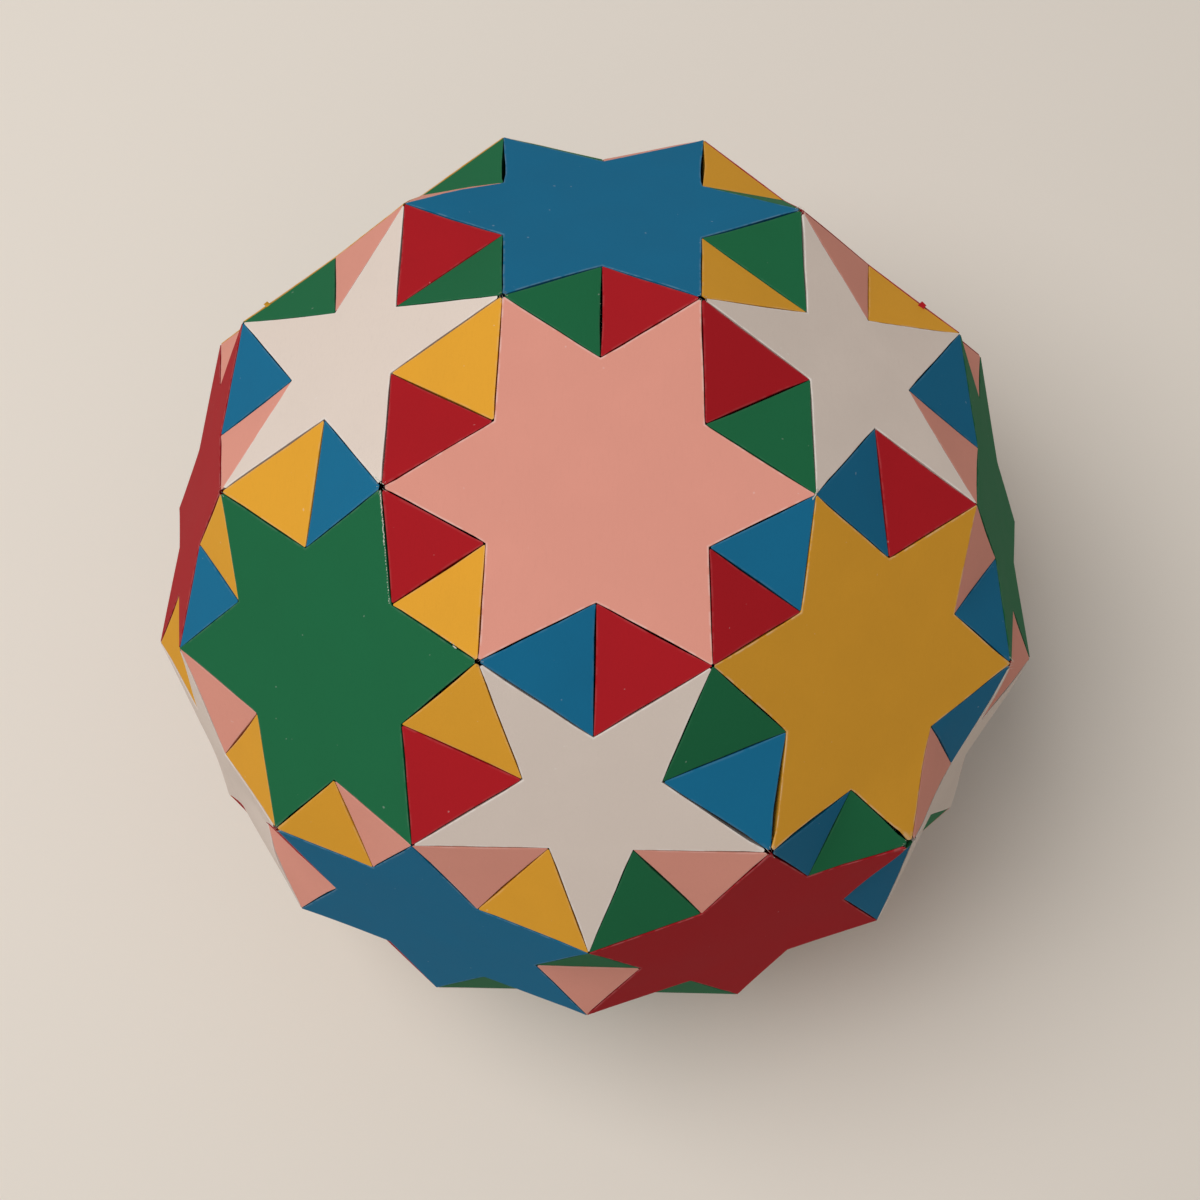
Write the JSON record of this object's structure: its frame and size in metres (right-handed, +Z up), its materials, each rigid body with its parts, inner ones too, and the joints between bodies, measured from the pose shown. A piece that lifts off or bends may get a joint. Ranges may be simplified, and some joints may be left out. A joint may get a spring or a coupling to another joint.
{
  "type": "folded card star ball",
  "caption": "Hollow decorative ball of folded and glued card: flat five-point and six-point stars joined by small sunken triangles, in white and five colours.",
  "frame": {"origin": "middle of the six-point star that the ball rests on, on the table", "axes": "+Z up through the middle of the star on top, -Y towards the white star nearest the viewer, +X to the viewer's right"},
  "size_m": [0.2576, 0.258, 0.241],
  "materials": {
    "white_card": "uncoated matt white craft card, faint fibre and mottling, slightly worn paler folds",
    "pink_card": "uncoated matt pink craft card, faint fibre and mottling, slightly worn paler folds",
    "yellow_card": "uncoated matt yellow craft card, faint fibre and mottling, slightly worn paler folds",
    "red_card": "uncoated matt red craft card, faint fibre and mottling, slightly worn paler folds",
    "blue_card": "uncoated matt blue craft card, faint fibre and mottling, slightly worn paler folds",
    "green_card": "uncoated matt green craft card, faint fibre and mottling, slightly worn paler folds"
  },
  "bodies": {
    "root": {"blue_star_01": "blue_card", "blue_star_02": "blue_card", "blue_star_03": "blue_card", "blue_star_04": "blue_card", "blue_triangles_base": "blue_card", "blue_triangles_lower": "blue_card", "blue_triangles_top": "blue_card", "blue_triangles_upper": "blue_card", "green_star_01": "green_card", "green_star_02": "green_card", "green_star_03": "green_card", "green_star_04": "green_card", "green_triangles_base": "green_card", "green_triangles_lower": "green_card", "green_triangles_top": "green_card", "green_triangles_upper": "green_card", "pink_star_01": "pink_card", "pink_star_02": "pink_card", "pink_star_03": "pink_card", "pink_star_04": "pink_card", "pink_triangles_base": "pink_card", "pink_triangles_lower": "pink_card", "pink_triangles_top": "pink_card", "pink_triangles_upper": "pink_card", "red_star_01": "red_card", "red_star_02": "red_card", "red_star_03": "red_card", "red_star_04": "red_card", "red_triangles_base": "red_card", "red_triangles_lower": "red_card", "red_triangles_top": "red_card", "red_triangles_upper": "red_card", "white_star_01": "white_card", "white_star_02": "white_card", "white_star_03": "white_card", "white_star_04": "white_card", "white_star_05": "white_card", "white_star_06": "white_card", "white_star_07": "white_card", "white_star_08": "white_card", "white_star_09": "white_card", "white_star_10": "white_card", "white_star_11": "white_card", "white_star_12": "white_card", "yellow_star_01": "yellow_card", "yellow_star_02": "yellow_card", "yellow_star_03": "yellow_card", "yellow_star_04": "yellow_card", "yellow_triangles_base": "yellow_card", "yellow_triangles_lower": "yellow_card", "yellow_triangles_top": "yellow_card", "yellow_triangles_upper": "yellow_card"}
  },
  "joints": []
}
